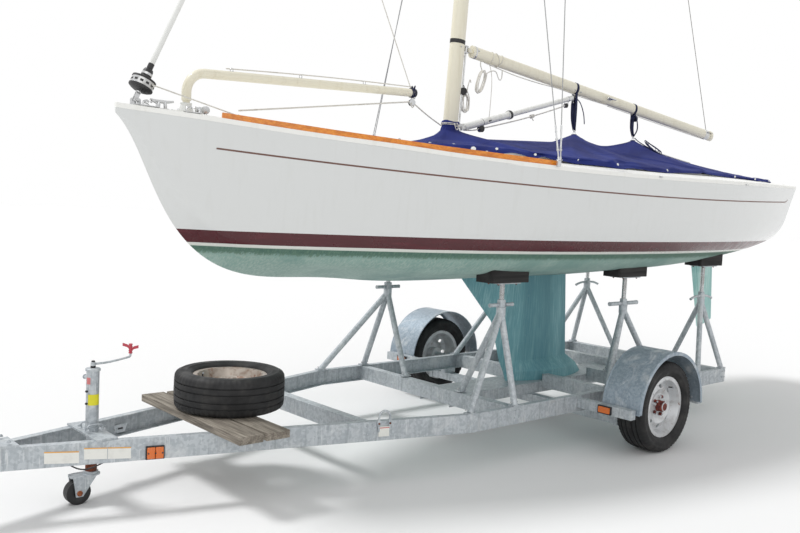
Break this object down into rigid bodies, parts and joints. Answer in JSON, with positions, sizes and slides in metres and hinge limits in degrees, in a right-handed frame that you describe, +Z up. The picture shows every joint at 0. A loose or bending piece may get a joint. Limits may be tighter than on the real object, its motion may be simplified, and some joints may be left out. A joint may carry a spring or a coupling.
{
  "type": "keel sailboat on a trailer",
  "caption": "Small keel sailboat with self-tending jib boom, main boom with strut, fin keel and spade rudder, standing on a two-wheel galvanised trailer with jack.",
  "frame": {"origin": "on the ground, at the middle of the overall length and width", "axes": "+X towards the bow and the trailer's coupler, +Y to port, +Z up"},
  "size_m": [7.1798, 2.452, 9.3199],
  "materials": {
    "hull_white": "semi-gloss grey-white paint",
    "deck_white": "semi-gloss white gelcoat",
    "boot_red": "glossy maroon paint",
    "antifouling": "worn matt teal paint",
    "keel_paint": "worn matt teal paint on cast metal",
    "teak": "varnished orange-brown wood",
    "cream_paint": "satin cream paint",
    "white_paint": "satin white paint",
    "black_plastic": "matt black",
    "stainless": "polished steel",
    "cover_cloth": "woven royal blue cloth",
    "galvanised": "dull hot-dip galvanised",
    "pad_wood": "dark weathered rubber",
    "tyre_rubber": "matt black rubber",
    "rim_paint": "silver paint with rust at the nuts",
    "rust": "rusted steel",
    "caster_plastic": "matt dark plastic",
    "plank_wood": "weathered grey-brown wood",
    "amber": "amber lens"
  },
  "bodies": {
    "boat_and_trailer": {"aft_stands": "galvanised", "axle": "galvanised", "boot_stripe": "boot_red", "cockpit_coaming": "deck_white", "cockpit_cover": "cover_cloth", "coupler": "galvanised", "cross_members": "galvanised", "deck": "deck_white", "deck_fittings": "stainless", "fenders": "galvanised", "forestay_foil": "white_paint", "frame_rails": "galvanised", "front_stands": "galvanised", "furler_drum": "black_plastic", "gooseneck_brackets": "stainless", "hull_bottom": "antifouling", "hull_pads": "pad_wood", "hull_topsides": "hull_white", "jack_tube": "galvanised", "jib_pedestal": "white_paint", "keel": "keel_paint", "keel_tray": "galvanised", "marker_lamps": "amber", "mast": "cream_paint", "middle_stands": "galvanised", "outriggers": "galvanised", "planks": "plank_wood", "shrouds": "stainless", "spare_rim": "rim_paint", "spare_tyre": "tyre_rubber", "spreaders": "cream_paint", "stand_screws": "galvanised", "tie_down_loops": "galvanised", "toe_rails": "teak"},
    "rudder": {"rudder": "antifouling", "tiller": "teak"},
    "boom_toggle": {"gooseneck_toggle": "stainless"},
    "main_boom": {"main_boom": "cream_paint", "vang_lug": "stainless"},
    "vang_tube": {"vang_tube": "white_paint"},
    "vang_rod": {"vang_rod": "white_paint"},
    "jib_boom": {"jib_boom": "cream_paint"},
    "port_wheel": {"port_tyre": "tyre_rubber", "port_rim": "rim_paint"},
    "stbd_wheel": {"stbd_tyre": "tyre_rubber", "stbd_rim": "rim_paint"},
    "jack_leg": {"jack_leg": "rust"},
    "caster_fork": {"caster_fork": "galvanised"},
    "caster_wheel": {"caster_wheel": "caster_plastic"}
  },
  "joints": [
    {"name": "rudder_turn", "type": "hinge", "parent": "boat_and_trailer", "child": "rudder", "pos_m": [-3.015, 0, 1.23], "axis": [0.2419, 0, 0.9703], "range_deg": [-35, 35]},
    {"name": "boom_swing", "type": "hinge", "parent": "boat_and_trailer", "child": "boom_toggle", "pos_m": [0.17748, 0, 2.66028], "axis": [-0.0541, 0, 0.9985], "range_deg": [-78, 78]},
    {"name": "boom_lift", "type": "hinge", "parent": "boom_toggle", "child": "main_boom", "pos_m": [0.15352, 0, 2.65898], "axis": [0, 1, 0], "range_deg": [0, 12]},
    {"name": "vang_pivot", "type": "hinge", "parent": "boom_toggle", "child": "vang_tube", "pos_m": [0.18218, 0, 2.12975], "axis": [0, 1, 0], "range_deg": [0, 10.15]},
    {"name": "vang_slide", "type": "slide", "parent": "vang_tube", "child": "vang_rod", "axis": [-0.9627, 0, 0.2706], "range_m": [0, 0.10236]},
    {"name": "jib_boom_swing", "type": "hinge", "parent": "boat_and_trailer", "child": "jib_boom", "pos_m": [2.262, 0, 2.1], "axis": [0, 0, 1], "range_deg": [-60, 60]},
    {"name": "port_wheel_turn", "type": "hinge", "parent": "boat_and_trailer", "child": "port_wheel", "pos_m": [-0.715, 1.088, 0.309], "axis": [0, 1, 0], "continuous": true},
    {"name": "stbd_wheel_turn", "type": "hinge", "parent": "boat_and_trailer", "child": "stbd_wheel", "pos_m": [-0.715, -1.088, 0.309], "axis": [0, 1, 0], "continuous": true},
    {"name": "jack_slide", "type": "slide", "parent": "boat_and_trailer", "child": "jack_leg", "axis": [0, 0, -1], "range_m": [-0.05, 0.28]},
    {"name": "caster_swivel", "type": "hinge", "parent": "jack_leg", "child": "caster_fork", "pos_m": [2.737, 0, 0.16], "axis": [0, 0, 1], "continuous": true},
    {"name": "caster_roll", "type": "hinge", "parent": "caster_fork", "child": "caster_wheel", "pos_m": [2.807, 0, 0.062], "axis": [0, 1, 0], "continuous": true}
  ],
  "couplings": [
    {"joint": "vang_pivot", "follows": "boom_lift", "ratio": 0.84579},
    {"joint": "vang_slide", "follows": "boom_lift", "m_per_rad": 0.48875}
  ]
}
